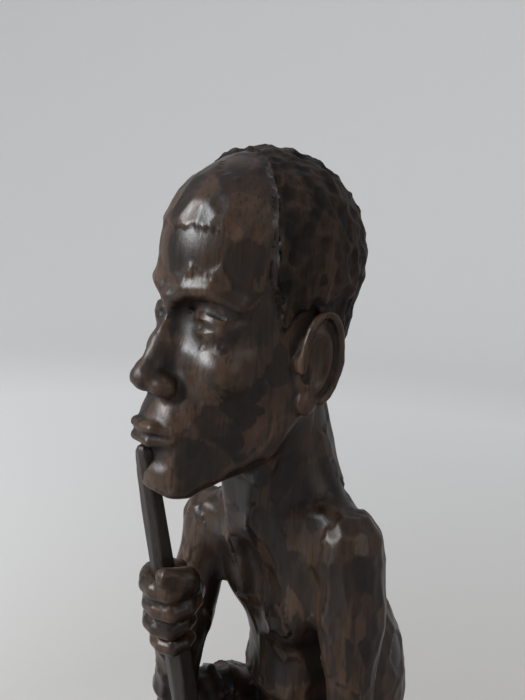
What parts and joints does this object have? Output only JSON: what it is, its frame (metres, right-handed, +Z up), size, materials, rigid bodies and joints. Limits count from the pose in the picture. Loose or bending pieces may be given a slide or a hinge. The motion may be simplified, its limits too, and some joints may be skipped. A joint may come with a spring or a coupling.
{
  "type": "carved seated figure",
  "caption": "Dark carved hardwood figure of a seated person leaning forward on a log seat, holding a tapered staff upright to the lips, on a plain base.",
  "frame": {"origin": "centre of the underside of the base", "axes": "+Z up along the seated figure, the figure faces -Y, its left side is +X"},
  "size_m": [0.1174, 0.1622, 0.3749],
  "materials": {
    "carved_wood": "hand-carved dark hardwood, knife facets, satin polish",
    "hair_wood": "dark hardwood, rough chiselled hair texture",
    "base_wood": "dark hardwood, tool marks, dull",
    "staff_wood": "dark hardwood, long shaved facets, satin"
  },
  "bodies": {
    "root": {"base": "base_wood", "seat": "base_wood", "loincloth": "carved_wood", "torso": "carved_wood", "neck": "carved_wood", "head": "carved_wood", "hair": "hair_wood", "ear_left": "carved_wood", "ear_right": "carved_wood", "upper_arm_left": "carved_wood", "forearm_left": "carved_wood", "hand_left": "carved_wood", "upper_arm_right": "carved_wood", "forearm_right": "carved_wood", "hand_right": "carved_wood", "thigh_left": "carved_wood", "thigh_right": "carved_wood", "shin_left": "carved_wood", "shin_right": "carved_wood", "foot_left": "carved_wood", "foot_right": "carved_wood", "staff": "staff_wood"}
  },
  "joints": []
}
